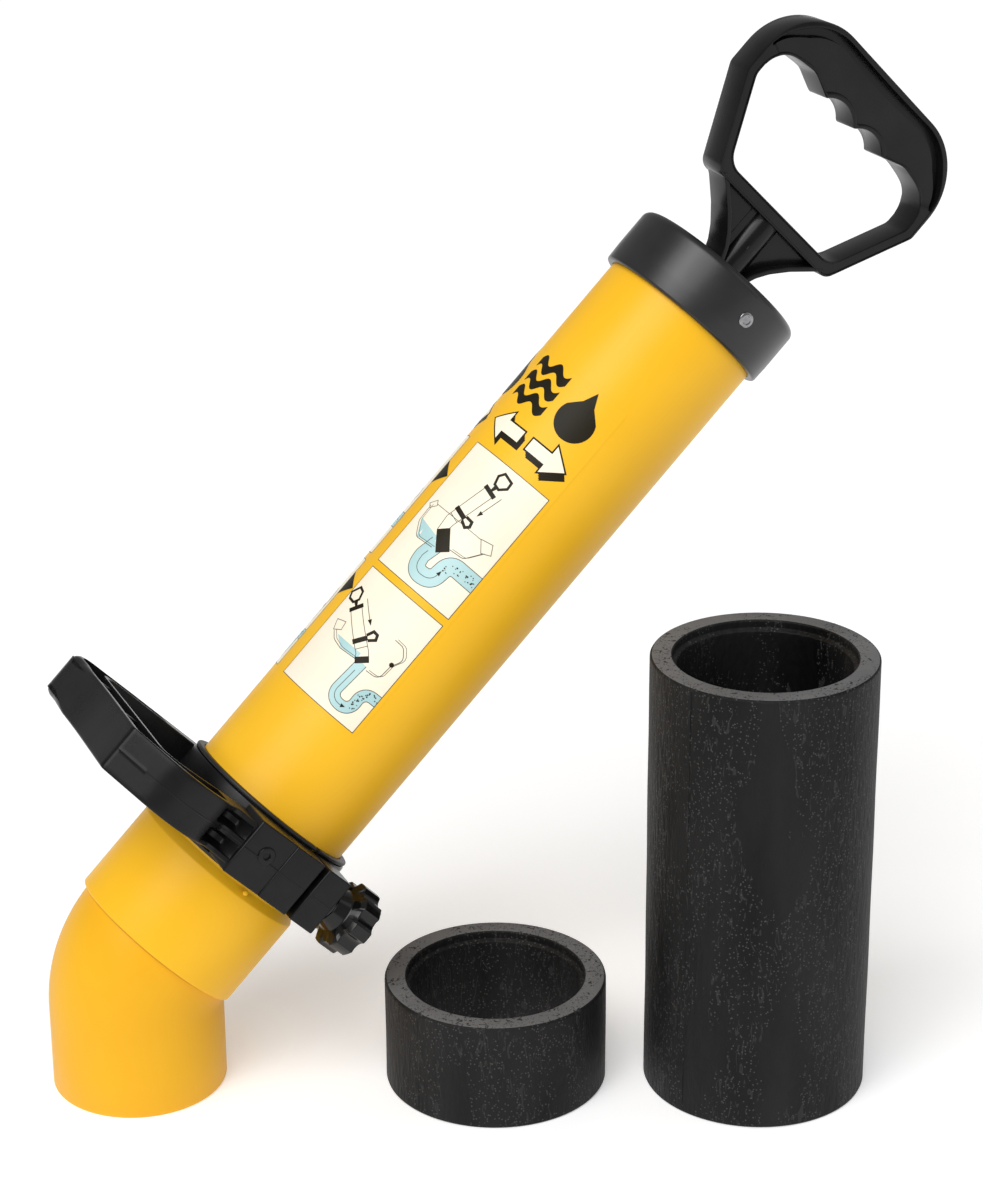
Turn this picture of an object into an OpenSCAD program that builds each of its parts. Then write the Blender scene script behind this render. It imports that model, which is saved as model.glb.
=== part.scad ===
// Hand-worked drain pump: a slanted pump barrel on a 45 degree outlet bend, a pull grip on the
// piston rod, a clamp-on side handle and two loose rubber collars that fit over the outlet.
// Frame: origin in the middle of the outlet's open end, +Z up, the barrel leans towards +X.

/* [Pipes] */
// Outer diameter of the barrel and the outlet bend
pipe_d = 75; // [74:0.5:76]
// Wall of the barrel and the outlet bend
pipe_wall = 2; // [1.8:0.1:2.2]
// Height at which the outlet's axis meets the barrel's axis
bend_height = 53.5; // [50:0.5:60]
// Centreline radius of the bend
bend_radius = 39; // [38.5:0.5:42]
// Length of the outlet that goes into a drain socket, up to the scribed line
outlet_length = 34.5; // [30:0.5:35]
// Outer diameter of the barrel's socket over the bend
socket_d = 80; // [79.5:0.5:81]
// Where the socket starts, measured up the barrel's axis from the bend point
socket_start = 14.2; // [14:0.2:18]
// Where the socket's wide part ends
socket_end = 56; // [54:0.5:57]
// Where the barrel itself ends, inside the cap
barrel_top = 384.5; // [380:0.5:390]

/* [Label] */
// Lower edge of the printed film round the barrel
label_start = 138.5; // [138.2:0.1:142]
// Upper edge of the printed film
label_end = 314; // [300:1:330]
// Angle that the film covers
label_angle = 160; // [120:2:170]
// How far the film's middle is turned from the barrel's upper side, away from the knob's side
label_turn = 7; // [0:1:10]
// Thickness of the film
label_t = 0.12; // [0.1:0.02:0.15]

/* [End cap] */
// Outer diameter of the cap
cap_d = 82.4; // [81:0.2:84]
// Lower edge of the cap's skirt
cap_start = 362.3; // [360:0.1:365]
// Upper face of the cap
cap_top = 389.5; // [389.5:0.5:390.5]
// Diameter of the pins that hold the cap
pin_d = 6.8; // [5:0.2:8]

/* [Piston and rod] */
// Diameter of the piston rod
rod_d = 12; // [10:0.5:12]
// Play of the rod in its bush and of the seals in the barrel
running_play = 0.05; // [0.02:0.01:0.09]
// Lowest part of the piston stack, with the grip pushed in
piston_start = 58; // [57:0.5:60]

/* [Pull grip] */
// Thickness of the grip's moulding
grip_t = 17; // [15:0.5:18]
// Underside of the grip's lower bar
grip_start = 417.8; // [417:0.2:420]
// Overall width of the grip
grip_w = 117; // [112:1:120]
// Height of the grip above its lower bar's underside
grip_h = 80.8; // [78:0.2:84]

/* [Side handle] */
// Middle of the clamp ring, up the barrel's axis
clamp_middle = 76.6; // [76.4:0.1:77.5]
// Height of the clamp ring and lugs
ring_h = 26.5; // [26:0.1:27]
// Outer radius of the clamp ring
ring_r = 41.4; // [41.2:0.1:42]
// Reach of the loop's end bar from the barrel's axis
loop_reach = 95.3; // [94:0.1:98]
// Height of the loop
loop_h = 21; // [20:0.5:22]
// Wall of the loop's open channel
loop_wall = 2.4; // [2:0.1:3]
// Distance of the clamp bolt from the barrel's axis
bolt_out = 47; // [46.5:0.1:47.5]

/* [Collars] */
// Outer diameter of the rubber collars
collar_d = 95.6; // [94:0.2:97]
// Bore of the rubber collars
collar_bore_d = 73; // [72:0.2:74]
// Height of the short collar
short_h = 48; // [45:0.5:52]
// Height of the long collar
long_h = 196.4; // [190:0.2:200]

/* [Hidden] */
$fn = 64;
hull_fn = 32;
lean = 45;

pipe_r = pipe_d / 2;
bore_r = pipe_r - pipe_wall;
socket_r = socket_d / 2;
socket_bore_r = pipe_r + 0.1;
bend_leg = bend_radius * tan(lean / 2);
rod_r = rod_d / 2;
seal_r = bore_r - running_play;

cap_r = cap_d / 2;
cap_edge_r = 4;
cap_plate_t = 5;
cap_inside = cap_top - cap_plate_t;
bush_r = 9;
wiper_r = bush_r - 1;
wiper_seat = 2.5;
pin_at = cap_start + 14.2;

boss_r = 7.6;
boss_start = cap_top + 1;
rod_end = 412;
cross_pin_r = 2;
cross_pin_at = rod_end - 8;

ring_bore_r = 38.95;
liner_r = ring_bore_r - running_play;
liner_bore_r = pipe_r + 0.3;
lug_face = 56;
gap_start = 6.7;
gap_end = 9.5;
stud_r = 3;
nut_at = -6;
knob_start = 24;
knob_hole_h = 12;

// Places of the loose collars on the floor
short_at = [142.5, -60.6, 0];
long_at = [245.1, -105.4, 0];

YELLOW = [0.96, 0.70, 0.10];
BLACK = [0.09, 0.09, 0.09];
RUBBER = [0.14, 0.14, 0.14];
STEEL = [0.70, 0.71, 0.72];

// Puts its children in the barrel's frame: +Z up the barrel, Y unchanged, X towards the floor side
module on_barrel(s = 0) {
    translate([0, 0, bend_height]) rotate([0, lean, 0]) translate([0, 0, s]) children();
}

// Draws a flat outline, given across and along the barrel, as a slab that is t thick in Y
module slab(t) {
    rotate([90, 0, 0]) linear_extrude(t, center = true) children();
}

// Ring with square edges about the barrel's axis
module ring(r_in, r_out, from, to) {
    translate([0, 0, from]) difference() {
        cylinder(r = r_out, h = to - from);
        translate([0, 0, -1]) cylinder(r = r_in, h = to - from + 2);
    }
}

// ---------- barrel and outlet ----------

module outlet_elbow() {
    leg_top = bend_height - bend_leg;
    // The plain end inside the socket is a little thinner, to leave room for the cement
    spigot_step = 0.1;
    // Fine scribed line that shows how far the outlet goes into a drain socket
    mark_from_bend = leg_top - outlet_length;
    mark_w = 1;
    mark_t = 0.5;
    // Drawn in the bend's own frame, with the bend's centre at the origin
    color(YELLOW) translate([bend_radius, 0, leg_top]) rotate([90, 0, 180]) {
        rotate_extrude(angle = lean) translate([bend_radius, 0]) difference() {
            circle(r = pipe_r);
            circle(r = bore_r);
        }
        translate([bend_radius, 0, 0]) rotate([90, 0, 0])
            rotate_extrude() polygon([[bore_r, 0], [pipe_r, 0], [pipe_r, mark_from_bend - mark_w],
                [pipe_r - mark_t, mark_from_bend - mark_w], [pipe_r - mark_t, mark_from_bend],
                [pipe_r, mark_from_bend], [pipe_r, leg_top], [bore_r, leg_top]]);
        rotate([0, 0, lean]) translate([bend_radius, 0, 0]) rotate([-90, 0, 0])
            rotate_extrude() translate([bore_r + spigot_step, 0])
                square([pipe_wall - 2 * spigot_step, socket_end - bend_leg]);
    }
}

module barrel_section() {
    edge = 0.8;
    shoulder = 4;
    polygon([[socket_bore_r, socket_start], [socket_r - edge, socket_start],
        [socket_r, socket_start + edge], [socket_r, socket_end],
        [pipe_r, socket_end + shoulder], [pipe_r, barrel_top],
        [bore_r, barrel_top], [bore_r, socket_end], [socket_bore_r, socket_end]]);
}

// Radial holes for the cap pins
module pin_holes() {
    for (side = [-1, 1]) translate([0, side * pipe_r, pin_at]) rotate([90, 0, 0])
        cylinder(d = pin_d, h = 12, center = true);
}

module barrel_tube() {
    notch_play = 0.05;
    notch_top = bend_height - 10;
    color(YELLOW) difference() {
        on_barrel() difference() {
            rotate_extrude() barrel_section();
            pin_holes();
        }
        cylinder(r = pipe_r + notch_play, h = notch_top);
    }
}

module instruction_label() {
    color(YELLOW) on_barrel() rotate([0, 0, 180 - label_turn - label_angle / 2])
        rotate_extrude(angle = label_angle) translate([pipe_r, label_start])
            square([label_t, label_end - label_start]);
}

module cap_section() {
    skirt_r = pipe_r + running_play;
    difference() {
        translate([bush_r, cap_start]) square([cap_r - bush_r, cap_top - cap_start]);
        translate([bush_r - 1, cap_start - 1]) square([skirt_r - bush_r + 1, cap_inside - cap_start + 1]);
        translate([cap_r - cap_edge_r, cap_top - cap_edge_r]) difference() {
            square(cap_edge_r + 1);
            circle(r = cap_edge_r);
        }
    }
}

module end_cap() {
    color(BLACK) on_barrel() difference() {
        rotate_extrude() cap_section();
        pin_holes();
    }
}

module cap_pins() {
    dome = 0.8;
    color(STEEL) on_barrel() for (side = [-1, 1])
        rotate([side * 90, 0, 0]) translate([0, side * pin_at, bore_r]) {
            cylinder(d = pin_d, h = cap_r - bore_r);
            translate([0, 0, cap_r - bore_r]) cylinder(d1 = pin_d, d2 = pin_d - 2 * dome, h = dome / 2);
        }
}

module rod_guide_bush() {
    flange_r = 13;
    flange_t = 3;
    hole_h = 20;
    color(BLACK) on_barrel() difference() {
        union() {
            translate([0, 0, cap_inside - flange_t]) cylinder(r = flange_r, h = flange_t);
            translate([0, 0, cap_inside]) cylinder(r = bush_r, h = cap_plate_t);
        }
        translate([0, 0, cap_inside - flange_t - 1]) cylinder(r = rod_r + running_play, h = hole_h);
        translate([0, 0, cap_top - wiper_seat]) cylinder(r = wiper_r, h = wiper_seat + 1);
    }
}

module rod_wiper() {
    sunk = 0.3;
    color(RUBBER) on_barrel() ring(rod_r + running_play, wiper_r, cap_top - wiper_seat, cap_top - sunk);
}

module end_buffer() {
    buffer_bore_r = 14;
    buffer_t = 6;
    color(RUBBER) on_barrel() ring(buffer_bore_r, bore_r - 1, cap_inside - buffer_t, cap_inside);
}

// ---------- piston ----------

hub_start = piston_start + 9.5;
hub_h = 21;
hub_end = hub_start + hub_h;
hub_core_r = 22;
flange_t = 4;
flange_start = hub_start + (hub_h - flange_t) / 2;
flange_end = flange_start + flange_t;
thread_r = rod_r - 1;
plate_t = 3;
plate_r = 27;
washer_r = 10;
washer_t = 1.5;
seat_play = 0.25;

// Half section of a lip cup: its back rests on the hub's flange at 0 and its lip opens along +Y
module cup_section() {
    back = 3.9;
    neck_end = 8.2;
    lip_end = 10;
    lip_t = 2.2;
    core_r = hub_core_r + running_play;
    polygon([[core_r, 0], [seal_r - 1, 0], [seal_r, 1.2], [seal_r, lip_end],
        [seal_r - lip_t, lip_end], [seal_r - lip_t - 1.4, back], [plate_r + 1.6, back],
        [plate_r + 0.4, neck_end], [core_r, neck_end]]);
}

module lower_piston_cup() {
    color(RUBBER) on_barrel(flange_start - seat_play) mirror([0, 0, 1]) rotate_extrude() cup_section();
}

module upper_piston_cup() {
    color(RUBBER) on_barrel(flange_end + seat_play) rotate_extrude() cup_section();
}

module piston_hub() {
    flange_r = bore_r - 0.8;
    color(BLACK) on_barrel() difference() {
        union() {
            translate([0, 0, hub_start]) cylinder(r = hub_core_r, h = hub_h);
            translate([0, 0, flange_start]) cylinder(r = flange_r, h = flange_t);
        }
        translate([0, 0, hub_start - 1]) cylinder(r = thread_r, h = hub_h + 2);
    }
}

module lower_piston_plate() {
    color(STEEL) on_barrel() ring(thread_r, plate_r, hub_start - plate_t, hub_start);
}

module upper_piston_plate() {
    color(STEEL) on_barrel() ring(thread_r, plate_r, hub_end, hub_end + plate_t);
}

module piston_washer() {
    washer_start = hub_start - plate_t - washer_t;
    color(STEEL) on_barrel() ring(thread_r, washer_r, washer_start, washer_start + washer_t);
}

module piston_nut() {
    nut_h = 4;
    nut_corners_d = 19.6;
    color(STEEL) on_barrel(hub_start - plate_t - washer_t - nut_h) difference() {
        cylinder(d = nut_corners_d, h = nut_h, $fn = 6);
        translate([0, 0, -1]) cylinder(r = thread_r, h = nut_h + 2);
    }
}

// Cross hole for the pin that holds the grip on the rod
module cross_hole() {
    rotate([90, 0, 0]) cylinder(r = cross_pin_r, h = 4 * boss_r, center = true);
}

module piston_rod() {
    thread_end = hub_end + plate_t;
    color(STEEL) on_barrel() difference() {
        union() {
            translate([0, 0, piston_start]) cylinder(r = thread_r, h = thread_end - piston_start);
            translate([0, 0, thread_end]) cylinder(r = rod_r, h = rod_end - thread_end);
        }
        translate([0, 0, cross_pin_at]) cross_hole();
    }
}

module grip_pin() {
    sunk = 0.2;
    color(STEEL) on_barrel(cross_pin_at) rotate([90, 0, 0])
        cylinder(r = cross_pin_r, h = 2 * (boss_r - sunk), center = true);
}

// ---------- pull grip ----------
// Outlines are drawn across and along the barrel, with 0 at the grip's lower edge.

grip_corner_r = 30;
finger_r = 13;
finger_up = 45.7;
finger_middle = 10.25;
finger_side = 31.5;
window_side = 40.2;
window_low = [33.6, 9];
recess_up = finger_up + 8;
flange_w = 2.2;

// Outer outline, drawn in by inset all round
module grip_outline(inset) {
    shoulder_r = 4;
    shoulder_up = 40.7;
    foot_x = 35;
    foot_r = 6;
    hull() for (side = [-1, 1]) {
        translate([side * (grip_w / 2 - grip_corner_r), grip_h - grip_corner_r])
            circle(r = grip_corner_r - inset, $fn = 2 * hull_fn);
        translate([side * (grip_w / 2 - shoulder_r), shoulder_up])
            circle(r = shoulder_r - min(inset, 3.5), $fn = hull_fn);
        translate([side * foot_x, foot_r]) circle(r = foot_r - min(inset, 5), $fn = hull_fn);
    }
}

// Hand opening with four finger hollows, grown by rim all round
module grip_window(rim) {
    intersection() {
        hull() for (side = [-1, 1]) {
            translate([side * window_low[0], window_low[1]]) circle(r = 3 + rim, $fn = hull_fn);
            translate([side * window_side, finger_up - 2]) circle(r = finger_r + rim, $fn = hull_fn);
        }
        translate([-grip_w / 2, 0]) square([grip_w, finger_up]);
    }
    for (side = [-1, 1]) {
        translate([side * finger_middle, finger_up]) circle(r = finger_r + rim, $fn = 2 * hull_fn);
        hull() {
            translate([side * finger_side, finger_up]) circle(r = finger_r + rim, $fn = 2 * hull_fn);
            translate([side * window_side, finger_up - 2]) circle(r = finger_r + rim, $fn = 2 * hull_fn);
        }
    }
}

// Flared foot under the lower bar, drawn in by inset
module grip_foot(inset) {
    half = [[8.5, boss_start - grip_start + 2], [11, -21], [15, -15.5], [22, -8.5], [33, -1], [36, 2]];
    polygon(concat([for (p = half) [p[0] - inset, p[1] + inset / 2]],
        [for (i = [len(half) - 1:-1:0]) [-half[i][0] + inset, half[i][1] + inset / 2]]));
}

// The grip above its shoulders, where its faces are recessed
module upper_grip() {
    translate([-grip_w, recess_up]) square([2 * grip_w, grip_h]);
}

module pull_grip() {
    rim = 3;
    groove_w = 4;
    cut_t = 10;
    groove_t = 7;
    pocket_t = 13.6;
    web_t = 6;
    color(BLACK) on_barrel(grip_start) difference() {
        union() {
            slab(grip_t) difference() {
                grip_outline(0);
                grip_window(0);
            }
            slab(grip_t) difference() {
                grip_foot(0);
                grip_foot(flange_w);
            }
            slab(web_t) grip_foot(1);
            translate([0, 0, boss_start - grip_start]) cylinder(r = boss_r, h = grip_start - boss_start + 2);
        }
        for (side = [-1, 1]) {
            // Shallow pocket over the whole handgrip
            translate([0, side * (pocket_t + cut_t) / 2, 0]) slab(cut_t) intersection() {
                difference() {
                    grip_outline(rim);
                    grip_window(2);
                }
                upper_grip();
            }
            // Deeper groove just inside the rim
            translate([0, side * (groove_t + cut_t) / 2, 0]) slab(cut_t) intersection() {
                difference() {
                    grip_outline(rim);
                    grip_outline(rim + groove_w);
                }
                upper_grip();
            }
        }
        translate([0, 0, boss_start - grip_start - 1]) cylinder(r = rod_r, h = rod_end - boss_start + 1);
        translate([0, 0, cross_pin_at - grip_start]) cross_hole();
    }
}

// ---------- clamp-on side handle ----------
// Outlines are drawn square to the barrel: X towards the floor side, Y sideways.

// The loop's corners as [along X, along Y, radius]: a round one, a tight crease and a full arm
far_corner = [9.5 - loop_reach, 44.5, 9.5];
crease = [3 - loop_reach, -36.7, 3];
arm_bulge = [-61, -27.5, 30];
arm_waist = [-44, -44, 6];
lug_left = -30;
lug_right = 22.7;
lug_inside = -30;
lug_edge_r = 4;
loop_low = clamp_middle - loop_h / 2;
ring_low = clamp_middle - ring_h / 2;

// Clamp slit through the ring and lugs on the -Y side
module slit(width_from, width_to) {
    translate([width_from, -80, -20]) cube([width_to - width_from, 80, 160]);
}

module clamp_liner() {
    lip_r = 41.2;
    lip_t = 1.8;
    lip_play = 0.3;
    seam_play = 0.4;
    low = clamp_middle - ring_h / 2 - lip_play;
    high = clamp_middle + ring_h / 2 + lip_play;
    color(RUBBER) on_barrel() difference() {
        union() {
            ring(liner_bore_r, liner_r, low - lip_t, high + lip_t);
            ring(liner_bore_r, lip_r, low - lip_t, low);
            ring(liner_bore_r, lip_r, high, high + lip_t);
        }
        slit(gap_start + seam_play, gap_end - seam_play);
    }
}

module corner(at, inset) {
    translate([at[0], at[1]]) circle(r = at[2] - inset, $fn = hull_fn);
}

// Outline of the loop, drawn in by inset; the -Y arm swells, then runs out to the clamp lugs
module loop_outline(inset) {
    hull() {
        circle(r = ring_r - inset);
        corner(far_corner, inset);
        corner(crease, inset);
    }
    hull() {
        corner(crease, inset);
        corner(arm_bulge, inset);
    }
    hull() {
        corner(arm_waist, inset);
        for (y = [lug_edge_r - lug_face, lug_inside])
            translate([lug_left + lug_edge_r, y]) circle(r = lug_edge_r - min(inset, 3), $fn = hull_fn);
    }
}

// Hand opening between the end bar and the ring, grown by rim
module loop_window(rim) {
    ring_bead = 1.2;
    window_end = -71.5;
    difference() {
        hull() {
            for (y = [-38, 37]) corner([window_end, y, 7], -rim);
            translate([-20, -33 - rim]) square([1, 2 * (33 + rim)]);
        }
        circle(r = ring_r + ring_bead - rim);
    }
}

// Open channel in the end bar and the arms, with its cross ribs left standing
module loop_channel() {
    rib_t = 2;
    rib_l = 18;
    channel_end = -47;
    far_arm_end = [channel_end, 40.5, 7];
    difference() {
        intersection() {
            hull() {
                for (at = [far_corner, crease, arm_bulge, far_arm_end]) corner(at, loop_wall);
            }
            translate([-loop_reach, -lug_face - 5]) square([loop_reach + channel_end, 2 * lug_face]);
        }
        loop_window(loop_wall);
        for (y = [-10, 26]) translate([-loop_reach, y - rib_t / 2]) square([rib_l, rib_t]);
        for (x = [-75, -58]) translate([x, -lug_face - 5]) square([rib_t, 2 * lug_face]);
    }
}

module side_handle() {
    floor_t = 4;
    pocket_w = 19;
    pocket_h = 8;
    pocket_t = 8;
    pocket_up = 5;
    boss = [-18.5, -lug_face, clamp_middle + 2.2];
    nut_slot = [5.4, 10.4];
    color(BLACK) on_barrel() difference() {
        union() {
            translate([0, 0, loop_low]) linear_extrude(loop_h) difference() {
                loop_outline(0);
                loop_window(0);
            }
            translate([0, 0, ring_low]) cylinder(r = ring_r, h = ring_h);
            translate([lug_left, -lug_face, ring_low]) cube([lug_right - lug_left, lug_face - 30, ring_h]);
            translate(boss) rotate([90, 0, 0]) cylinder(r = 3.8, h = 0.8);
        }
        translate([0, 0, ring_low - 1]) cylinder(r = ring_bore_r, h = ring_h + 2);
        translate([0, 0, loop_low + floor_t]) linear_extrude(loop_h) loop_channel();
        slit(gap_start, gap_end);
        // Two pockets in the outer face of the arm, with a web between them
        for (side = [-1, 1])
            translate([lug_left + 2 - pocket_w, -lug_face - 20, clamp_middle + side * pocket_up])
                translate([0, 0, -pocket_h / 2]) cube([pocket_w, pocket_t + 20, pocket_h]);
        // Moulding hole in the lug's face
        translate(boss + [0, 5, 0]) rotate([90, 0, 0]) cylinder(r = 1.5, h = 8);
        // Bolt hole through both lugs, and the slot that the nut drops into
        translate([-14, -bolt_out, clamp_middle]) rotate([0, 90, 0]) cylinder(r = stud_r + 0.3, h = 60);
        translate([nut_at - nut_slot[0] / 2, -bolt_out - nut_slot[1] / 2, ring_low - 1])
            cube([nut_slot[0], nut_slot[1], ring_h / 2 + 1 + nut_slot[1] / 2]);
    }
}

// Puts its children on the clamp bolt's axis, with +Z along the bolt towards the knob
module on_bolt(at) {
    on_barrel(clamp_middle) translate([at, -bolt_out, 0]) rotate([0, 90, 0]) children();
}

module clamp_nut() {
    nut = [10, 10, 5];
    color(STEEL) on_bolt(nut_at) difference() {
        cube(nut, center = true);
        cylinder(r = stud_r + running_play, h = 2 * nut[2], center = true);
    }
}

module clamp_knob() {
    knob_r = 15.5;
    knob_h = 18.5;
    head_h = 10.5;
    hub_r = [8, 12.5];
    lobes = 8;
    flute_r = 4.4;
    flute_out = knob_r + 1.9;
    color(BLACK) on_bolt(knob_start) difference() {
        union() {
            cylinder(r1 = hub_r[0], r2 = hub_r[1], h = knob_h - head_h);
            translate([0, 0, knob_h - head_h]) cylinder(r = knob_r, h = head_h);
        }
        for (i = [0:lobes - 1]) rotate([0, 0, (i + 0.5) * 360 / lobes])
            translate([flute_out, 0, -1]) cylinder(r = flute_r, h = knob_h + 2);
        translate([0, 0, -1]) cylinder(r = stud_r, h = knob_hole_h + 1);
    }
}

module clamp_stud() {
    stud_start = -11;
    color(STEEL) on_bolt(stud_start) cylinder(r = stud_r, h = knob_start + knob_hole_h - stud_start);
}

module knob_washer() {
    knob_washer_r = 7.5;
    knob_washer_t = 1;
    color(STEEL) on_bolt(knob_start - knob_washer_t) difference() {
        cylinder(r = knob_washer_r, h = knob_washer_t);
        translate([0, 0, -1]) cylinder(r = stud_r, h = knob_washer_t + 2);
    }
}

// ---------- loose collars ----------

module collar(h) {
    edge = 1.2;
    mouth_r = 38.3;
    mouth_h = 3.5;
    r_in = collar_bore_d / 2;
    r_out = collar_d / 2;
    rotate_extrude() polygon([[r_in, 0], [r_out - edge, 0], [r_out, edge], [r_out, h - edge],
        [r_out - edge, h], [mouth_r, h], [mouth_r, h - mouth_h], [r_in, h - mouth_h - 1]]);
}

module short_collar() {
    color(RUBBER) translate(short_at) collar(short_h);
}

module long_collar() {
    color(RUBBER) translate(long_at) collar(long_h);
}

barrel_tube();
outlet_elbow();
instruction_label();
end_cap();
cap_pins();
rod_guide_bush();
rod_wiper();
end_buffer();
lower_piston_cup();
upper_piston_cup();
piston_hub();
lower_piston_plate();
upper_piston_plate();
piston_washer();
piston_nut();
piston_rod();
pull_grip();
grip_pin();
clamp_liner();
side_handle();
clamp_nut();
clamp_knob();
clamp_stud();
knob_washer();
short_collar();
long_collar();
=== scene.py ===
"""Looks of the hand-worked drain pump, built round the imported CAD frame.

Lengths are millimetres unless a comment says otherwise. The maps, such as barrel_point, turn them into metres.
"""
import math
import random

import bmesh
import bpy
import numpy as np
from mathutils import Matrix, Vector
from mathutils.geometry import tessellate_polygon


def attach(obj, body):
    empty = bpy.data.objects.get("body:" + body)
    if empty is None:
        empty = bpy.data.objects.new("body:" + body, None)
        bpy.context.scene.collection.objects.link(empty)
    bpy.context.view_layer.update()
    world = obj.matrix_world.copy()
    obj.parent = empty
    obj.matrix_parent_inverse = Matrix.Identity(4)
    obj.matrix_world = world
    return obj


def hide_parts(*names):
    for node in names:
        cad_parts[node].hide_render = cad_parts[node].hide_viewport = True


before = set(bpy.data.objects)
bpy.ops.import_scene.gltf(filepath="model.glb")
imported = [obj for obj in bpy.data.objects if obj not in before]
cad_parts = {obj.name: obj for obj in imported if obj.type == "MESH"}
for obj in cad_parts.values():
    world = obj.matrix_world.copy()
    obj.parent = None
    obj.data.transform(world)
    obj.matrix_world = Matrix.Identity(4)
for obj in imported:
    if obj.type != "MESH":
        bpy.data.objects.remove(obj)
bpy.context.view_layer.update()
random.seed(7)

MM = 0.001

# ---------- driving sizes, as in the CAD ----------
BEND_HEIGHT = 53.5
BEND_RADIUS = 39.0
PIPE_R = 37.5
BORE_R = 35.5
SOCKET_R = 40.0
SOCKET_START = 14.2
SOCKET_END = 56.0
BARREL_TOP = 384.5
CAP_R = 41.2
CAP_START = 362.3
CAP_TOP = 389.5
PIN_R = 3.4
PIN_AT = CAP_START + 14.2
GRIP_START = 417.8
GRIP_W = 117.0
GRIP_H = 80.8
GRIP_T = 17.0
BOSS_R = 7.6
BOSS_START = CAP_TOP + 1
CLAMP_MIDDLE = 76.6
RING_H = 26.5
RING_R = 41.4
RING_BORE_R = 38.95
LOOP_H = 21.0
LOOP_REACH = 95.3
LUG_FACE = 56.0
CHANNEL_END = -47.0
POCKETS = (-47.0, -29.5)
POCKET_T = 6.0
LUG_LEFT = -30.0
LUG_RIGHT = 22.7
GAP = (6.7, 9.5)
BOLT_OUT = 47.0
KNOB_START = 24.0
COLLAR_R = 47.8
COLLAR_BORE_R = 36.5
SEAM_TURN = 203.0
LABEL_LIFT = 0.12

# ---------- strengths of the light ----------
WORLD_LIGHT = 0.34
FLOOR_GLOW = 0.30

# Unit vectors of the barrel's frame: across (n), sideways (y) and up the barrel (s)
ROOT2 = math.sqrt(0.5)
ALONG = Vector((ROOT2, 0, ROOT2))
ACROSS = Vector((ROOT2, 0, -ROOT2))
SIDE = Vector((0, 1, 0))
FOOT = Vector((0, 0, BEND_HEIGHT * MM))


def barrel_point(n, y, s):
    """A point given in the barrel's frame, in the shared frame and metres."""
    return FOOT + (ACROSS * n + SIDE * y + ALONG * s) * MM


def floor_point(centre):
    """Returns a map for things that stand upright on the floor round a centre."""
    return lambda x, y, z: Vector(centre) + Vector((x, y, z)) * MM


# ---------- mesh tools ----------

def make(name, verts, faces, smooth=38.0):
    """A mesh object with sharp edges kept above the given angle."""
    mesh = bpy.data.meshes.new(name)
    mesh.from_pydata([tuple(v) for v in verts], [], faces)
    mesh.validate()
    bm = bmesh.new()
    bm.from_mesh(mesh)
    bmesh.ops.remove_doubles(bm, verts=bm.verts, dist=1e-7)
    bmesh.ops.recalc_face_normals(bm, faces=bm.faces)
    bm.to_mesh(mesh)
    bm.free()
    for poly in mesh.polygons:
        poly.use_smooth = True
    mesh.set_sharp_from_angle(angle=math.radians(smooth))
    obj = bpy.data.objects.new(name, mesh)
    bpy.context.scene.collection.objects.link(obj)
    return obj


def join(name, objects, smooth=38.0):
    """Joins several objects' meshes into one piece; they stay separate closed shells."""
    verts, faces = [], []
    for obj in objects:
        base = len(verts)
        verts += [v.co.copy() for v in obj.data.vertices]
        faces += [[base + i for i in p.vertices] for p in obj.data.polygons]
        bpy.data.objects.remove(obj)
    return make(name, verts, faces, smooth)


def rounded(corners, closed=True, steps=6):
    """A polyline through corners (x, y, radius, ...) with each corner rounded to its radius."""
    out = []
    count = len(corners)
    for i, corner in enumerate(corners):
        p = Vector(corner[:2])
        radius = corner[2] if len(corner) > 2 else 0
        if radius <= 0 or (not closed and i in (0, count - 1)):
            out.append((p.x, p.y))
            continue
        a = (Vector(corners[i - 1][:2]) - p).normalized()
        b = (Vector(corners[(i + 1) % count][:2]) - p).normalized()
        half = math.acos(max(-1.0, min(1.0, a.dot(b)))) / 2
        reach = radius / math.tan(half)
        centre = p + (a + b).normalized() * radius / math.sin(half)
        start = p + a * reach - centre
        end = p + b * reach - centre
        turn = math.atan2(start.x * end.y - start.y * end.x, start.dot(end))
        for k in range(steps + 1):
            c, s = math.cos(turn * k / steps), math.sin(turn * k / steps)
            out.append((centre.x + start.x * c - start.y * s, centre.y + start.x * s + start.y * c))
    return out


def lathe(name, section, place, count=160, start=0.0, turn=360.0, ripple=None, smooth=38.0):
    """Turns a closed section [(r, h)] about the axis; place(x, y, z) puts points in the shared frame."""
    full = abs(turn - 360.0) < 1e-6
    stations = count if full else count + 1
    verts, faces = [], []
    for i in range(stations):
        a = math.radians(start + turn * i / count)
        for r, h in section:
            if ripple:
                r = ripple(r, h, a)
            verts.append(place(r * math.cos(a), r * math.sin(a), h))
    m = len(section)
    for i in range(count):
        j = (i + 1) % stations
        for k in range(m):
            up = (k + 1) % m
            faces.append([i * m + k, j * m + k, j * m + up, i * m + up])
    if not full:
        faces.append(list(range(m)))
        faces.append([count * m + k for k in range(m)][::-1])
    return make(name, verts, faces, smooth)


def resample(points, count, closed):
    """Points evenly spaced along a polyline."""
    p = np.array(list(points) + ([points[0]] if closed else []), float)
    d = np.concatenate([[0], np.cumsum(np.linalg.norm(np.diff(p, axis=0), axis=1))])
    t = np.linspace(0, d[-1], count + 1)[:-1] if closed else np.linspace(0, d[-1], count)
    return np.stack([np.interp(t, d, p[:, 0]), np.interp(t, d, p[:, 1])], 1)


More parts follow.
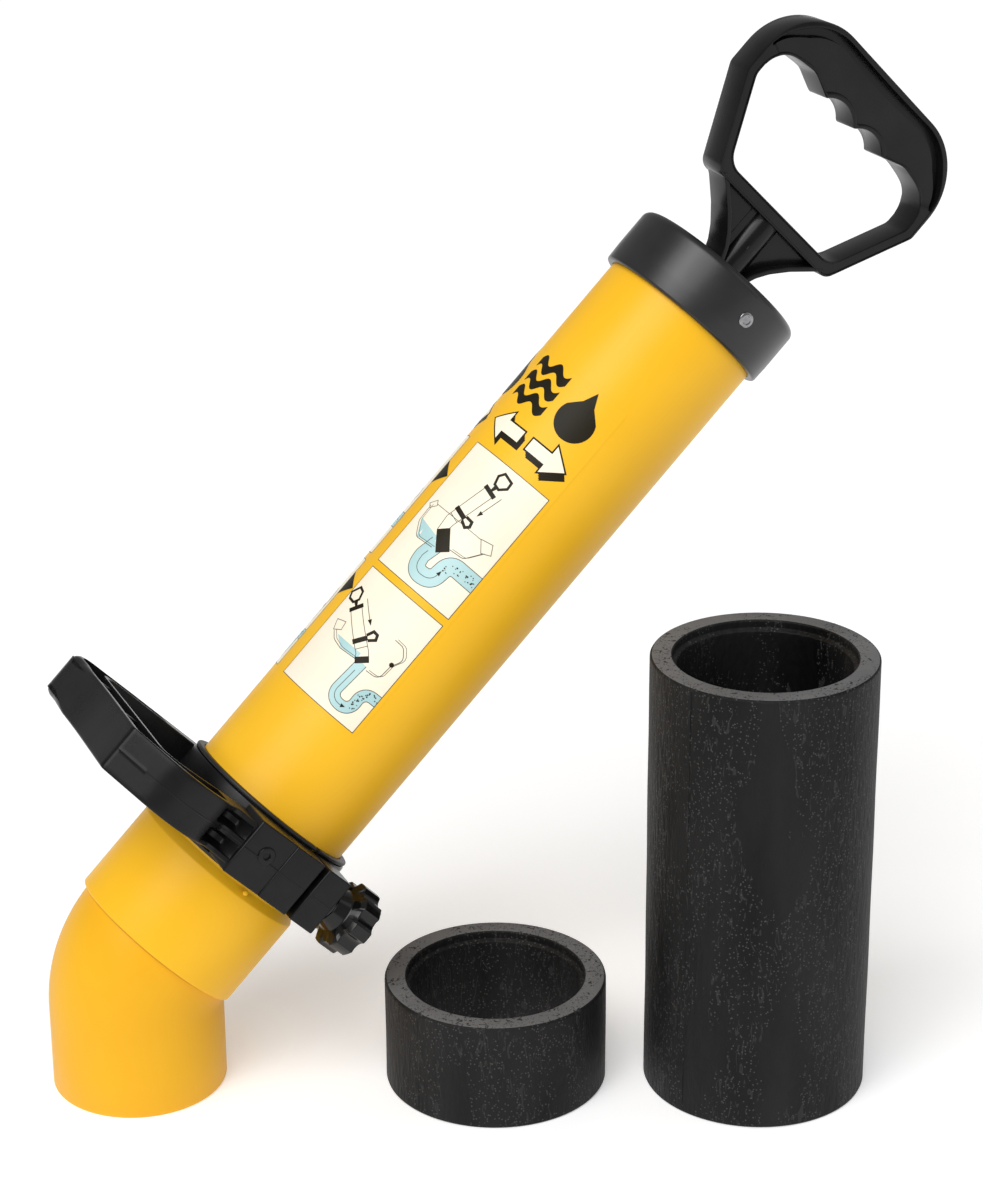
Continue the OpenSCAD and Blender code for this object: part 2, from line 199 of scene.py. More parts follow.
def polar(points, centre, angles):
    """Where rays from the centre cross a closed outline that is star-shaped round it."""
    p = np.array(points, float) - centre
    a = np.unwrap(np.arctan2(p[:, 1], p[:, 0]))
    if a[-1] < a[0]:
        p, a = p[::-1], a[::-1]
    r = np.linalg.norm(p, axis=1)
    reach = np.interp(angles, *_wrapped(a, r))
    return np.stack([np.cos(angles) * reach, np.sin(angles) * reach], 1) + centre


def _wrapped(a, r):
    """Angles and radii sorted and repeated one turn either way, so that they can be interpolated all round."""
    order = np.argsort(np.mod(a, 2 * np.pi))
    a, r = np.mod(a, 2 * np.pi)[order], r[order]
    return np.concatenate([a - 2 * np.pi, a, a + 2 * np.pi]), np.concatenate([r, r, r])


def band(name, outer, inner, section, place, closed, smooth=38.0):
    """A moulding between two matched outlines. section(i, gap) lists (from_outer, distance, height)."""
    count = len(outer)
    verts, faces = [], []
    for i in range(count):
        o, n = Vector(outer[i]), Vector(inner[i])
        d = (n - o).normalized()
        ring = section(i, (n - o).length)
        for from_outer, dist, height in ring:
            q = o + d * dist if from_outer else n - d * dist
            verts.append(place(q.x, q.y, height))
    m = len(ring)
    for i in range(count if closed else count - 1):
        j = (i + 1) % count
        for k in range(m):
            up = (k + 1) % m
            faces.append([i * m + k, j * m + k, j * m + up, i * m + up])
    if not closed:
        faces.append(list(range(m)))
        faces.append([(count - 1) * m + k for k in range(m)][::-1])
    return make(name, verts, faces, smooth)


def inset(loop, d):
    """Moves a dense closed outline inwards by d along its normals."""
    p = np.array(loop, float)
    t = np.roll(p, -1, 0) - np.roll(p, 1, 0)
    t /= np.maximum(np.linalg.norm(t, axis=1), 1e-9)[:, None]
    area = 0.5 * np.sum(p[:, 0] * np.roll(p[:, 1], -1) - np.roll(p[:, 0], -1) * p[:, 1])
    n = np.stack([-t[:, 1], t[:, 0]], 1) * (1 if area > 0 else -1)
    return p + n * d


def slab(name, loop, low, high, place, edge=0.8):
    """A flat moulding of one closed outline between two heights, with rounded edges."""
    steps = 3
    levels = []
    for k in range(steps + 1):
        a = math.pi / 2 * k / steps
        levels.append((edge * (1 - math.sin(a)), low + edge * (1 - math.cos(a))))
    levels += [(d, low + high - h) for d, h in reversed(levels)]
    verts, faces = [], []
    n = len(loop)
    for d, h in levels:
        verts += [place(x, y, h) for x, y in inset(loop, d)]
    for lev in range(len(levels) - 1):
        for i in range(n):
            j = (i + 1) % n
            faces.append([lev * n + i, lev * n + j, (lev + 1) * n + j, (lev + 1) * n + i])
    caps = [list(range(n))[::-1], [(len(levels) - 1) * n + i for i in range(n)]]
    flat = [Vector((x, y, 0)) for x, y in inset(loop, levels[0][0])]
    tris = tessellate_polygon([flat])
    for cap in caps:
        faces += [[cap[i] for i in t] for t in tris]
    return make(name, verts, faces)


def box_on(name, place, x, y, z, edge=0.8):
    """A block with rounded edges; x, y and z are its (low, high) limits."""
    corners = [(x[0], y[0], edge), (x[1], y[0], edge), (x[1], y[1], edge), (x[0], y[1], edge)]
    loop = rounded(corners, steps=4)
    return slab(name, loop, z[0], z[1], place, edge * 0.8)


# ---------- materials ----------

def srgb(r, g, b):
    """Linear colour from 0-255 display values."""
    def lin(v):
        v /= 255.0
        return v / 12.92 if v <= 0.04045 else ((v + 0.055) / 1.055) ** 2.4
    return (lin(r), lin(g), lin(b), 1.0)


def grey(v, blue=0.0):
    """A linear grey with a touch of blue."""
    return (v, v, v + blue, 1)


def material(name, dark, light, rough, scale, bump, bump_scale, metallic=0.0, rough_spread=0.06, specular=0.5):
    """Principled material whose colour, roughness and relief vary with object-space noise."""
    mat = bpy.data.materials.new(name)
    mat.use_nodes = True
    nt = mat.node_tree
    bsdf = nt.nodes["Principled BSDF"]
    bsdf.inputs["Metallic"].default_value = metallic
    bsdf.inputs["Specular IOR Level"].default_value = specular
    where = nt.nodes.new("ShaderNodeTexCoord")
    noise = nt.nodes.new("ShaderNodeTexNoise")
    noise.inputs["Scale"].default_value = scale
    noise.inputs["Detail"].default_value = 4.0
    nt.links.new(where.outputs["Object"], noise.inputs["Vector"])
    ramp = nt.nodes.new("ShaderNodeValToRGB")
    ramp.color_ramp.elements[0].position = 0.32
    ramp.color_ramp.elements[0].color = dark
    ramp.color_ramp.elements[1].position = 0.68
    ramp.color_ramp.elements[1].color = light
    nt.links.new(noise.outputs["Fac"], ramp.inputs["Fac"])
    nt.links.new(ramp.outputs["Color"], bsdf.inputs["Base Color"])
    spread = nt.nodes.new("ShaderNodeMapRange")
    spread.inputs["To Min"].default_value = rough - rough_spread
    spread.inputs["To Max"].default_value = rough + rough_spread
    nt.links.new(noise.outputs["Fac"], spread.inputs["Value"])
    nt.links.new(spread.outputs["Result"], bsdf.inputs["Roughness"])
    grain = nt.nodes.new("ShaderNodeTexNoise")
    grain.inputs["Scale"].default_value = bump_scale
    grain.inputs["Detail"].default_value = 3.0
    nt.links.new(where.outputs["Object"], grain.inputs["Vector"])
    relief = nt.nodes.new("ShaderNodeBump")
    relief.inputs["Strength"].default_value = bump
    relief.inputs["Distance"].default_value = 0.0003
    nt.links.new(grain.outputs["Fac"], relief.inputs["Height"])
    nt.links.new(relief.outputs["Normal"], bsdf.inputs["Normal"])
    return mat


def rubber_with_specks(name, dark, light):
    """Matt black foamed rubber: fine grain, upright streaks and small light specks that gather in patches."""
    mat = material(name, dark, light, 0.60, 32, 1.0, 520, rough_spread=0.08, specular=0.2)
    nt = mat.node_tree
    bsdf = nt.nodes["Principled BSDF"]
    where = nt.nodes["Texture Coordinate"]
    ramp = nt.nodes["Color Ramp"]

    def combine(operation, a, b):
        """A maths node on output a and on b, which is another output or a number."""
        node = nt.nodes.new("ShaderNodeMath")
        node.operation = operation
        nt.links.new(a, node.inputs[0])
        if isinstance(b, float):
            node.inputs[1].default_value = b
        else:
            nt.links.new(b, node.inputs[1])
        return node.outputs[0]

    # Upright streaks: noise drawn out along Z
    upright = nt.nodes.new("ShaderNodeMapping")
    upright.inputs["Scale"].default_value = (1, 1, 0.28)
    nt.links.new(where.outputs["Object"], upright.inputs["Vector"])
    for noise in ("Noise Texture", "Noise Texture.001"):
        nt.links.new(upright.outputs["Vector"], nt.nodes[noise].inputs["Vector"])
    nt.nodes["Bump"].inputs["Distance"].default_value = 0.0006
    patch = nt.nodes.new("ShaderNodeTexNoise")
    patch.inputs["Scale"].default_value = 42
    patch.inputs["Detail"].default_value = 6
    nt.links.new(upright.outputs["Vector"], patch.inputs["Vector"])
    specks = nt.nodes.new("ShaderNodeTexVoronoi")
    specks.inputs["Scale"].default_value = 640
    nt.links.new(where.outputs["Object"], specks.inputs["Vector"])
    # Short wrinkles between the specks
    wrinkle = nt.nodes.new("ShaderNodeTexNoise")
    wrinkle.inputs["Scale"].default_value = 420
    wrinkle.inputs["Detail"].default_value = 2
    wrinkle.inputs["Distortion"].default_value = 1.5
    nt.links.new(upright.outputs["Vector"], wrinkle.inputs["Vector"])
    gathered = combine("GREATER_THAN", patch.outputs["Fac"], 0.42)
    dots = combine("MULTIPLY", combine("LESS_THAN", specks.outputs["Distance"], 0.22), gathered)
    lines = combine("MULTIPLY", combine("GREATER_THAN", wrinkle.outputs["Fac"], 0.62), gathered)
    colour = ramp.outputs["Color"]
    for mask, tone in ((lines, 0.022), (dots, 0.052)):
        mix = nt.nodes.new("ShaderNodeMix")
        mix.data_type = "RGBA"
        nt.links.new(mask, mix.inputs["Factor"])
        nt.links.new(colour, mix.inputs["A"])
        mix.inputs["B"].default_value = grey(tone)
        colour = mix.outputs["Result"]
    nt.links.new(colour, bsdf.inputs["Base Color"])
    return mat


YELLOW = material("yellow_pipe", srgb(245, 185, 30), srgb(248, 191, 40), 0.42, 14, 0.05, 420, specular=0.25)
YELLOW_BEND = material("yellow_bend", srgb(236, 173, 20), srgb(240, 180, 28), 0.44, 14, 0.08, 420,
                       specular=0.25)
# Dark brown for a painted shade line at the socket's mouth
SOCKET_SHADE = material("socket_shade_line", srgb(142, 94, 8), srgb(170, 116, 16), 0.45, 60, 0.10, 420, specular=0.25)
CAP = material("cap_black", grey(0.010), grey(0.016, 0.001), 0.32, 45, 0.06, 700, specular=0.45)
GRIP = material("grip_black", grey(0.004, 0.0005), grey(0.008, 0.0005), 0.24, 55, 0.06, 500, specular=0.24)
HANDLE = material("handle_black", grey(0.004, 0.0005), grey(0.009, 0.0005), 0.29, 55, 0.10, 330,
                  rough_spread=0.1, specular=0.22)
KNOB = material("knob_black", grey(0.003), grey(0.006), 0.17, 70, 0.03, 400, specular=0.35)
LINER = material("liner_black", grey(0.012), grey(0.020), 0.45, 60, 0.10, 600, specular=0.4)
SEAL = material("seal_black", grey(0.012), grey(0.022), 0.5, 80, 0.15, 600)
STEEL = material("turned_steel", (0.56, 0.57, 0.58, 1), (0.72, 0.73, 0.74, 1), 0.22, 120, 0.06, 900,
                 metallic=1.0)
PLATED = material("plated_steel", (0.50, 0.49, 0.45, 1), (0.68, 0.66, 0.60, 1), 0.34, 160, 0.08, 900,
                  metallic=1.0)
PIN = material("pin_bright", grey(0.20, 0.01), grey(0.34, 0.01), 0.18, 240, 0.05, 900, metallic=1.0)
DARK_STEEL = material("dark_steel", grey(0.012), grey(0.020, 0.001), 0.34, 120, 0.05, 900)
BUSH = material("bush_plastic", (0.60, 0.58, 0.52, 1), (0.70, 0.68, 0.62, 1), 0.40, 80, 0.05, 700)
COLLAR = rubber_with_specks("collar_rubber", grey(0.0012, 0.0002), grey(0.013, 0.0006))
# Lighter copy of the same rubber for the top end face: painted light falling from above
COLLAR_LIT_TOP = rubber_with_specks("collar_lit_top", grey(0.115, 0.003), grey(0.150, 0.002))
PAPER = material("panel_cream", srgb(249, 238, 214), srgb(252, 242, 221), 0.42, 40, 0.03, 500, specular=0.25)
WATER = material("print_blue", srgb(170, 208, 210), srgb(182, 216, 216), 0.38, 40, 0.03, 500)
INK = material("print_black", (0.013, 0.010, 0.004, 1), (0.018, 0.014, 0.006, 1), 0.42, 40, 0.03, 500,
               specular=0.15)
FINE_INK = material("print_line", srgb(66, 62, 56), srgb(84, 80, 72), 0.40, 40, 0.03, 500, specular=0.2)
FLOOR = material("floor_white", grey(0.90), grey(0.92), 0.8, 3, 0.0, 50, specular=0.1)
FLOOR.node_tree.nodes["Principled BSDF"].inputs["Emission Color"].default_value = (1, 1, 1, 1)
FLOOR.node_tree.nodes["Principled BSDF"].inputs["Emission Strength"].default_value = FLOOR_GLOW


def finish_piece(obj, mat, body, *nodes, slot=None):
    """Gives a piece its material, its body and the CAD nodes it stands for."""
    obj.data.materials.clear()
    obj.data.materials.append(mat)
    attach(obj, body)
    if nodes:
        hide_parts(*nodes)


def paint(node, mat):
    """A better material on a CAD node that keeps its shape."""
    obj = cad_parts[node]
    obj.data.materials.clear()
    obj.data.materials.append(mat)


# ---------- barrel, bend and cap ----------

def build_barrel():
    """The pipe with its wider socket, a dark ring of painted shade at the socket's mouth and a small nib."""
    section = rounded([
        (PIPE_R + 0.1, SOCKET_START, 0.5), (SOCKET_R, SOCKET_START, 0.9), (SOCKET_R, SOCKET_END, 2.0),
        (PIPE_R, SOCKET_END + 4, 2.0), (PIPE_R, BARREL_TOP, 0.4), (BORE_R, BARREL_TOP, 0.4),
        (BORE_R, SOCKET_END, 0.3), (PIPE_R + 0.1, SOCKET_END, 0.3)])
    tube = lathe("barrel", section, barrel_point, count=192)
    finish_piece(tube, YELLOW, "barrel", "barrel_tube", slot="yellow_barrel")
    # Dark ring slightly proud at the socket's mouth: painted shade, standing for the shade line of the joint
    inside, outside, low, high = PIPE_R - 0.3, PIPE_R + 0.55, SOCKET_START - 0.4, SOCKET_START + 0.3
    section = rounded([(inside, low, 0.05), (outside, low, 0.3), (outside, high, 0.1), (inside, high, 0.05)],
                      steps=3)
    shade_ring = lathe("socket_shade_ring", section, barrel_point, count=192)
    finish_piece(shade_ring, SOCKET_SHADE, "barrel", slot="yellow_barrel")
    # Small moulded nib under the clamp, on the camera's side
    nib_n, nib_s = -5, 59
    section = rounded([(0.01, 0, 0), (1.2, 0, 0), (1.2, 0.7, 0.5), (0.01, 1.0, 0)], steps=4)
    nib = lathe("clamp_nib", section,
                lambda x, y, z: barrel_point(nib_n + x, -SOCKET_R + 0.6 - z, nib_s + y), count=24)
    finish_piece(nib, YELLOW, "barrel", slot="yellow_barrel")


def build_bend():
    """Outlet leg, 45 degree bend and the hidden plain end, swept with an open bore."""
    leg = BEND_RADIUS * math.tan(math.radians(22.5))
    top = BEND_HEIGHT - leg
    stations = [(z, PIPE_R - drop) for z, drop in ((0.0, 0.9), (0.25, 0.35), (0.9, 0.0))]
    rows = [(Vector((0, 0, z)), Vector((1, 0, 0)), r) for z, r in stations]
    rows += [(Vector((0, 0, z)), Vector((1, 0, 0)), PIPE_R) for z in (top / 2, top)]
    steps = 24
    for k in range(1, steps + 1):
        a = math.radians(45.0 * k / steps)
        centre = Vector((BEND_RADIUS * (1 - math.cos(a)), 0, top + BEND_RADIUS * math.sin(a)))
        rows.append((centre, Vector((math.cos(a), 0, -math.sin(a))), PIPE_R))
    end = Vector((0, 0, BEND_HEIGHT)) + ALONG * SOCKET_END
    rows.append((end, ACROSS, PIPE_R - 0.1))
    inner = [(c, x, BORE_R) for c, x, r in reversed(rows)]
    inner[-1] = (rows[0][0], rows[0][1], BORE_R + 0.5)
    rings = rows + inner
    count = 160
    verts, faces = [], []
    for centre, x_dir, r in rings:
        for i in range(count):
            a = 2 * math.pi * i / count
            verts.append((centre + x_dir * (r * math.cos(a)) + SIDE * (r * math.sin(a))) * MM)
    m = len(rings)
    for k in range(m):
        up = (k + 1) % m
        for i in range(count):
            j = (i + 1) % count
            faces.append([k * count + i, k * count + j, up * count + j, up * count + i])
    finish_piece(make("bend", verts, faces), YELLOW_BEND, "barrel", "outlet_elbow", slot="yellow_bend")


def build_cap():
    """The end cap with its hole for the rod, and the two pins through its side."""
    hole_r, roof, inside = 9.0, 5, PIPE_R + 0.05
    section = rounded([
        (inside, CAP_START, 0.4), (CAP_R - 0.3, CAP_START, 1.2), (CAP_R, CAP_START + 8, 2),
        (CAP_R, CAP_TOP, 3.6), (hole_r, CAP_TOP, 0.4), (hole_r, CAP_TOP - roof, 0.2),
        (inside, CAP_TOP - roof, 0.3)], steps=8)
    cap = lathe("cap", section, barrel_point, count=192)
    finish_piece(cap, CAP, "barrel", "end_cap", slot="cap_black")
    pins = []
    pin = rounded([(0.01, -5.5, 0), (PIN_R, -5.5, 0), (PIN_R, 0.45, 0.5), (PIN_R * 0.62, 0.75, 0.6),
                   (PIN_R * 0.45, 0.45, 0.3), (0.01, 0.45, 0)], steps=4)
    for side in (-1, 1):
        pins.append(lathe("pin", pin,
                          lambda x, y, z, side=side: barrel_point(x, side * (CAP_R + z), PIN_AT + y), count=40))
    finish_piece(join("pins", pins), PIN, "barrel", "cap_pins", slot="pin_steel")


# ---------- pull grip ----------

def grip_point(x, y, h):
    """Outline x across, y up from the grip's lower edge, h towards the camera's side."""
    return barrel_point(x, -h, GRIP_START + y)


def mirrored(right):
    """A closed outline from its right half, listed from bottom centre to top centre."""
    left = [(-x, y) for x, y in reversed(right) if x > 1e-6]
    return right + left


def grip_outlines(count):
    """Matched outer and inner outlines of the D grip, with the finger hollows along the inner one."""
    centre = np.array([0.0, 36.0])
    half_w = GRIP_W / 2
    outer = rounded([(0, 0), (37.5, 0, 6), (half_w, 39.5, 5), (half_w, GRIP_H, 30), (0, GRIP_H)],
                    closed=False, steps=24)
    side = half_w - 5.3
    # Finger arcs: radius, height of the centres, how far out the inner and outer centres and the cusp lie
    finger_r, finger_up, middle, outside, cusp_x = 13.0, 45.7, 10.25, 31.5, 20.9
    window = rounded([(0, 6), (35, 6, 10), (side, 40.1, 7), (side, finger_up + 11.4, 13), (39.5, 57.6)],
                     closed=False, steps=24)
    cusp = math.acos((cusp_x - outside) / finger_r)
    window += [(outside + finger_r * math.cos(a), finger_up + finger_r * math.sin(a))
               for a in np.linspace(math.radians(80), cusp, 20)]
    first = math.acos((cusp_x - middle) / finger_r)
    last = math.acos(-middle / finger_r)
    window += [(middle + finger_r * math.cos(a), finger_up + finger_r * math.sin(a))
               for a in np.linspace(first, last, 20)]
    window[-1] = (0.0, window[-1][1])
    angles = np.linspace(0, 2 * np.pi, count, endpoint=False) - np.pi / 2
    angles = np.mod(angles, 2 * np.pi)
    outer, inner = (polar(resample(mirrored(line), 1400, True), centre, angles) for line in (outer, window))
    # The finger ridges have soft tips
    soft = sum(np.roll(inner, k, 0) for k in range(-5, 6)) / 11
    ridge = (inner[:, 1] > 46)[:, None]
    inner = np.where(ridge, soft, inner)
    return outer, inner


def grip_section(outer):
    """Cross-section at each station: a plain stepped bar low down, a rimmed and grooved grip above."""
    top = GRIP_T / 2
    up = outer[:, 1]
    blend = np.clip((up - 54.2) / 2.6, 0, 1)
    blend = blend * blend * (3 - 2 * blend)

    def section(i, gap):
        g = float(blend[i])
        fit = min(1.0, gap / 22.0)
        rim, groove_in, groove_out, plate = 2.7 * fit, 3.1 * fit, 6.8 * fit, 7.4 * fit
        lip = 1.9 * fit
        low = top - (0.7 + 4.3 * g)
        flat = top - (0.7 + 1.0 * g)
        ridge = top - 0.4 * g
        edge = 1.1 * min(1.0, 0.4 + 0.6 * fit)
        face = [(1, 0, top - edge), (1, 0.3 * edge, top - 0.3 * edge), (1, edge, top),
                (1, max(rim, edge + 0.02), top), (1, max(rim, edge) + 0.18, top - 0.25),
                (1, max(groove_in, edge) + 0.2, low), (1, max(groove_out, edge + 0.3), low),
                (1, max(plate, edge + 0.5), flat),
                (0, lip + 0.5 + 0.3 * fit, flat), (0, lip + 0.25, ridge - 0.1), (0, lip, ridge),
                (0, 0.8, ridge), (0, 0.25, ridge - 0.25), (0, 0, ridge - 0.8)]
        return face + [(side, d, -h) for side, d, h in reversed(face)]
    return section


def build_grip():
    """The D grip, its flared foot and the boss that takes the rod."""
    outer, inner = grip_outlines(540)
    parts = [band("grip_frame", outer, inner, grip_section(outer), grip_point, True, 30)]
    # Flared foot: two curved flanges, a thin web between them, and the round boss
    curve = [(35.5, 1.5), (31.5, -0.8), (22, -8.5), (15, -15.5), (11, -21.0),
             (8.9, BOSS_START - GRIP_START + 1.5)]
    smooth_curve = resample(rounded([(x, y, 10) for x, y in curve], closed=False, steps=8), 40, False)
    for side in (-1, 1):
        edge_out = [(side * x, y) for x, y in smooth_curve]
        edge_in = [(side * (x - 1.9), y + 1.3) for x, y in smooth_curve]
        flange = [tuple(p) for p in edge_out] + [tuple(p) for p in reversed(edge_in)]
        if side < 0:
            flange.reverse()
        parts.append(slab("flange", flange, -GRIP_T / 2 + 0.6, GRIP_T / 2 - 0.6, grip_point, 0.5))
    web = [(x - 1, y + 0.6) for x, y in smooth_curve]
    web = web[::-1] + [(-x, y) for x, y in web]
    parts.append(slab("web", web, -3.0, 3.0, grip_point, 0.3))
    rod_r, boss_end = 6.02, GRIP_START + 3
    boss = rounded([(rod_r, BOSS_START, 0.2), (BOSS_R, BOSS_START, 0.5), (BOSS_R, boss_end, 0.5),
                    (rod_r, boss_end, 0.2)], steps=4)
    parts.append(lathe("boss", boss, barrel_point, count=64))
    # Moulding line up the web and the boss, on both faces
    for face in (-1, 1):
        parts.append(box_on("seam", lambda x, y, z, face=face: grip_point(x, y, face * z),
                            (-10.4, -9.8), (-19, 0), (2.9, 3.25), 0.1))
    grip = join("pull_grip_body", parts, 34)
    finish_piece(grip, GRIP, "plunger", "pull_grip", slot="grip_black")


# ---------- side handle ----------

def clamp_point(x, y, h):
    """x across, y sideways, h up the barrel from the clamp's middle."""
    return barrel_point(x, y, CLAMP_MIDDLE + h)


def loop_paths():
    """Matched outer and inner edges of the hand loop, from the +Y side of the ring round to the lugs."""
    reach = LOOP_REACH
    outer = [(-2, 41.2, 0), (-20.5, 43.9, 20), (-reach, 55.3, 9.5), (2.0 - reach, 6, 300), (-reach, -39.2, 2.5),
             (-60, -65.9, 30), (-39.5, -48.9, 6), (-27, -LUG_FACE + 0.6, 0)]
    inner = [(-2, 39.4, 0), (-20.5, 34.4, 20), (-78.5, 45, 7), (-78.0, 4, 300), (-78.5, -46, 7),
             (-60, -42, 60), (-39.5, -37.6, 30), (-27, -35.4, 0)]
    counts = (14, 60, 40, 40, 50, 50, 20)
    steps = 20

    def walk(corners):
        """Rounds the corners and samples each leg with its own share of points."""
        pts = rounded(corners, closed=False, steps=steps)
        legs, points, at = [], [], 0
        for k in range(len(corners)):
            size = 1 if k in (0, len(corners) - 1) else steps + 1
            legs.append(pts[at:at + size])
            at += size
        for k in range(len(corners) - 1):
            leg = legs[k][len(legs[k]) // 2:] + legs[k + 1][:len(legs[k + 1]) // 2 + 1]
            points.append(resample(leg, counts[k], False)[:-1])
        points.append(np.array([legs[-1][-1]]))
        return np.concatenate(points)
    return walk(outer), walk(inner)


def loop_section(outer):
    """Deep U channel open up the barrel, shut towards the ring, with two pockets in the -Y arm's outer face."""
    top, floor, wall, edge = LOOP_H / 2, -LOOP_H / 2 + 4.0, 2.4, 0.8

    def share(v):
        return min(1.0, max(0.0, v))

    def arc(r, up):
        """Outer edge rounded with r, listed from the top (or bottom) face round to the outer face."""
        turns = [math.pi / 2 * k / 4 for k in range(5)]
        return [(1, r * (1 - math.sin(a)), up * (top - r + r * math.cos(a))) for a in turns]

    def section(i, gap):
        x, y = float(outer[i][0]), float(outer[i][1])
        deep = top - 0.05 if x > CHANNEL_END else floor
        # The pockets' ends slope over 4 mm
        hole = POCKET_T * share((x - POCKETS[0]) / 4) * share((POCKETS[1] - x) / 4) if y < 0 else 0.0
        line = 0.15 if y < -40 else 0.0
        # The outer edges grow rounder towards the far corner
        far = share((y - 22) / 16) * share((-60 - x) / 20)
        soft = edge + 3.2 * far
        w = min(max(wall, soft + 0.3), gap * 0.42)
        soft = min(soft, w - 0.05)
        pockets = []
        for low, high in ((1.5, 8.3), (-8.3, -1.5)):
            pockets += [(1, 0, high), (1, hole * 0.6, high - 0.4), (1, hole, high - 2.2),
                        (1, hole, low + 2.2), (1, hole * 0.6, low + 0.4), (1, 0, low)]
            if low > 0:
                pockets += [(1, 0, 0.3), (1, -line, 0.12), (1, -line, -0.12), (1, 0, -0.3)]
        inside = [(0, 1.2, -top), (0, 0.35, -top + 0.35), (0, 0, -top + 1.2), (0, 0, top - edge),
                  (0, 0.25, top - 0.25), (0, edge, top), (0, wall, top), (0, wall + 0.2, deep)]
        return inside + [(1, w + 0.2, deep), (1, w, top)] + arc(soft, 1) + pockets + arc(soft, -1)[::-1]
    return section


def build_side_handle():
    """Hand loop, clamp ring, lugs and their small details in one moulding."""
    outer, inner = loop_paths()
    parts = [band("loop", outer, inner, loop_section(outer), clamp_point, False, 32)]
    half = RING_H / 2

    def block(name, x, y, z, edge):
        parts.append(box_on(name, clamp_point, x, y, z, edge))

    # Clamp ring, open at the slit on the -Y side
    slit_low = math.degrees(math.atan2(-RING_BORE_R, GAP[1]))
    slit_high = math.degrees(math.atan2(-RING_BORE_R, GAP[0]))
    ring = rounded([(RING_BORE_R, -half, 0.3), (RING_R, -half, 0.8), (RING_R, half, 0.8),
                    (RING_BORE_R, half, 0.3)], steps=4)
    parts.append(lathe("ring", ring, clamp_point, count=180, start=slit_low, turn=360 + slit_high - slit_low))
    # Cross ribs in the channel
    rib_h = (-LOOP_H / 2 + 3.5, LOOP_H / 2 - 1.2)
    for x, y in (((-93, -80), (25, 27)), ((-93, -80), (-11, -9)), ((-93, -80), (-40.4, -38.8)),
                 ((-75, -73), (-53, -46)), ((-58, -56), (-56, -43)), ((-75, -73), (45.5, 51)),
                 ((-58, -56), (42, 48.5))):
        block("rib", x, y, rib_h, 0.4)
    # Lug block with its step, and the free lug beyond the slit
    block("lug_root", (LUG_LEFT, -8.9), (-LUG_FACE + 0.5, -36.5), (-half, half), 1.0)
    block("lug_near", (-9.6, GAP[0]), (-LUG_FACE, -38.5), (-half, half), 0.7)
    block("lug_far", (GAP[1], LUG_RIGHT), (-LUG_FACE, -36.8), (-half, half), 0.7)
    # Parting line along the outer faces, at mid height
    for x in ((LUG_LEFT + 1, GAP[0] - 0.5), (GAP[1] + 0.5, LUG_RIGHT - 0.5)):
        block("line", x, (-LUG_FACE - 0.12, -LUG_FACE + 1), (-0.18, 0.18), 0.1)
    # Small moulding boss with its hole
    boss_x, boss_h = -18.5, 2.2
    boss = rounded([(1.5, -3, 0), (3.9, -3, 0), (3.9, 0.7, 0.5), (1.5, 0.9, 0.4)], steps=4)
    parts.append(lathe("boss", boss, lambda x, y, z: clamp_point(boss_x + x, -LUG_FACE + 0.4 - z, boss_h + y),
                       count=40))
    handle = join("side_handle_body", parts, 34)
    finish_piece(handle, HANDLE, "side_handle", "side_handle", slot="handle_black")


def build_liner():
    """Thin split liner between the ring and the barrel, with a lip at each end."""
    half = RING_H / 2 + 0.3
    lip = 1.8
    lip_r = 41.2
    inner = PIPE_R + 0.3
    section = rounded([(inner, -half - lip, 0.4), (lip_r, -half - lip, 0.8), (lip_r, -half, 0.8),
                       (RING_BORE_R - 0.05, -half, 0.2), (RING_BORE_R - 0.05, half, 0.2),
                       (lip_r, half, 0.8), (lip_r, half + lip, 0.8), (inner, half + lip, 0.4)], steps=5)
    start = math.degrees(math.atan2(-inner, GAP[1] - 0.4))
    end = math.degrees(math.atan2(-inner, GAP[0] + 0.4))
    liner = lathe("liner", section, clamp_point, count=180, start=start, turn=360 + end - start)
    finish_piece(liner, LINER, "clamp_band", "clamp_liner", slot="liner_black")


def knob_point(x, y, h):
    """On the clamp bolt: h along the bolt from the knob's inner end."""
    return barrel_point(KNOB_START + h, -BOLT_OUT + y, CLAMP_MIDDLE + x)


def build_knob():
    """Fluted clamp knob on its hub, with the screw end's button in its hollow face."""
    lobes, flute_r, flute_at, knob_r = 8, 4.4, 17.6, 15.5

    def fluted(r, h, a):
        """Flutes cut in from the rim; the hub stays round."""
        if r < 11.0:
            return r
        turn = 2 * math.pi / lobes
        b = (a + turn / 2) % turn - turn / 2
        b = turn / 2 - abs(b)
        inside = flute_r ** 2 - (flute_at * math.sin(b)) ** 2
        if inside <= 0:
            return r
        cut = flute_at * math.cos(b) - math.sqrt(inside)
        return min(r, cut * r / knob_r + 0.4)
    section = rounded([(3.02, 0, 0.3), (7.8, 0, 0.8), (9.8, 6.2, 1.2), (13.4, 7.6, 0.6), (knob_r, 8.8, 0.8),
                       (knob_r, 17.8, 0.8), (13.0, 18.5, 0.8), (10.8, 18.5, 0.5), (9.0, 16.5, 0.8),
                       (3.02, 16.5, 0.3)], steps=5)
    knob = lathe("clamp_knob_body", section, knob_point, count=240, ripple=fluted, smooth=34)
    section = rounded([(0.01, 13, 0), (5.5, 13, 0.3), (5.5, 17.4, 0.8), (0.01, 17.7, 0)], steps=4)
    button = lathe("button", section, knob_point, count=48)
    finish_piece(join("knob_body", [knob, button], 34), KNOB, "knob", "clamp_knob", slot="knob_black")


# ---------- collars ----------

